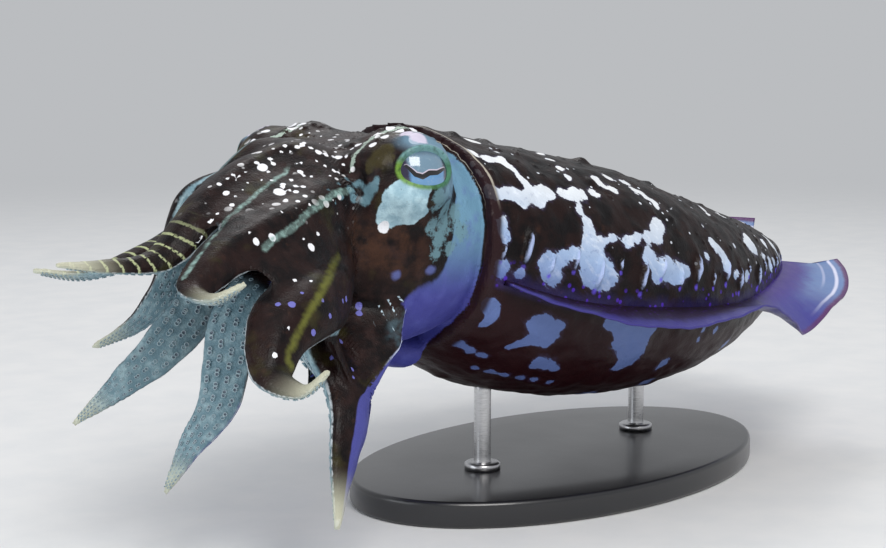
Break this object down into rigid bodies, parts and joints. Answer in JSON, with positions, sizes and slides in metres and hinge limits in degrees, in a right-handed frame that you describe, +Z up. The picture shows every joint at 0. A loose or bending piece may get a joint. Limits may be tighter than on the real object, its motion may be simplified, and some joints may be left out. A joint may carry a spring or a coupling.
{
  "type": "broadclub cuttlefish museum model",
  "caption": "Life-size still model of a broadclub cuttlefish hovering with its arms spread, on a flat base with two rods.",
  "frame": {"origin": "centre of the underside of the stand's base", "axes": "+X towards the cuttlefish's tail, +Y towards its right side, +Z up from the floor"},
  "size_m": [0.5078, 0.1931, 0.1769],
  "materials": {
    "mantle_skin": "moist skin, semi-gloss, mottled maroon with pale blue-white network",
    "head_skin": "moist skin, semi-gloss, brown with pale green-white patch under the eye",
    "arm_skin": "moist skin, brown with white spots, pale blue on the oral side",
    "fin_skin": "thin translucent skin, violet to pale blue",
    "funnel_skin": "smooth pale violet skin",
    "eye_iris": "wet, glossy, pale blue with a W-shaped black pupil",
    "lips": "moist pale lips",
    "beak_horn": "dark polished horn",
    "stand_plate": "fine matt black",
    "stand_steel": "brushed along its length"
  },
  "bodies": {
    "root": {"arm_left_1_base": "arm_skin", "arm_left_1_tip": "arm_skin", "arm_left_2_base": "arm_skin", "arm_left_2_middle": "arm_skin", "arm_left_2_tip": "arm_skin", "arm_left_3_base": "arm_skin", "arm_left_3_middle": "arm_skin", "arm_left_3_tip": "arm_skin", "arm_left_4_base": "arm_skin", "arm_left_4_tip": "arm_skin", "arm_right_1_base": "arm_skin", "arm_right_1_tip": "arm_skin", "arm_right_2_base": "arm_skin", "arm_right_2_tip": "arm_skin", "arm_right_3_base": "arm_skin", "arm_right_3_tip": "arm_skin", "arm_right_4_base": "arm_skin", "arm_right_4_tip": "arm_skin", "beak": "beak_horn", "eye_left": "eye_iris", "eye_right": "eye_iris", "fin_left": "fin_skin", "fin_right": "fin_skin", "funnel": "funnel_skin", "head": "head_skin", "mantle": "mantle_skin", "mouth": "lips", "stand_base": "stand_plate", "stand_rod_front": "stand_steel", "stand_rod_rear": "stand_steel"}
  },
  "joints": []
}
